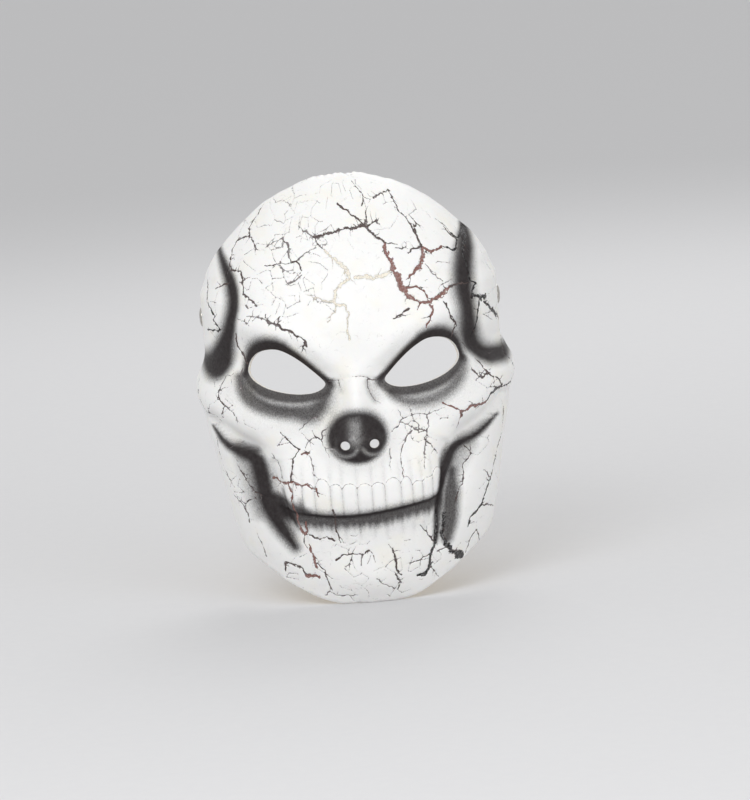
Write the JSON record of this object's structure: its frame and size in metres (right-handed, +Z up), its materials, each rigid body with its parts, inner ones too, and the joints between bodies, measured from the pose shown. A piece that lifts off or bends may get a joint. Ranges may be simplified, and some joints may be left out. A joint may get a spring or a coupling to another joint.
{
  "type": "latex face mask",
  "caption": "Moulded latex skull face mask with eye and nostril holes, held by an elastic strap that swivels on side rivets and stretches.",
  "frame": {"origin": "midway between the two strap rivets, on the mask's midplane", "axes": "+Z up, the face looks along -Y, the head goes in from +Y, +X is the viewer's right"},
  "size_m": [0.1612, 0.1823, 0.2095],
  "materials": {
    "latex": "matte white airbrushed latex",
    "patch_latex": "unpainted natural latex",
    "elastic": "flat woven elastic",
    "rivet_metal": "nickel plated"
  },
  "bodies": {
    "mask": {"latex_skin": "latex", "temple_patch_left": "patch_latex", "temple_patch_right": "patch_latex", "rivet_left": "rivet_metal", "rivet_right": "rivet_metal", "rivet_washer_left": "rivet_metal", "rivet_washer_right": "rivet_metal", "rivet_cap_left": "rivet_metal", "rivet_cap_right": "rivet_metal"},
    "strap_ends": {"strap_end_left": "elastic", "strap_end_right": "elastic", "strap_side_left": "elastic", "strap_side_right": "elastic"},
    "strap_rear": {"strap_back": "elastic"}
  },
  "joints": [
    {"name": "strap_swing", "type": "hinge", "parent": "mask", "child": "strap_ends", "pos_m": [0, 0, 0], "axis": [1, 0, 0], "range_deg": [-45, 75]},
    {"name": "strap_stretch", "type": "slide", "parent": "strap_ends", "child": "strap_rear", "axis": [0, 1, 0], "range_m": [0, 0.045], "stiffness_N_per_m": 90, "deforming": ["strap_side_left", "strap_side_right"]}
  ]
}
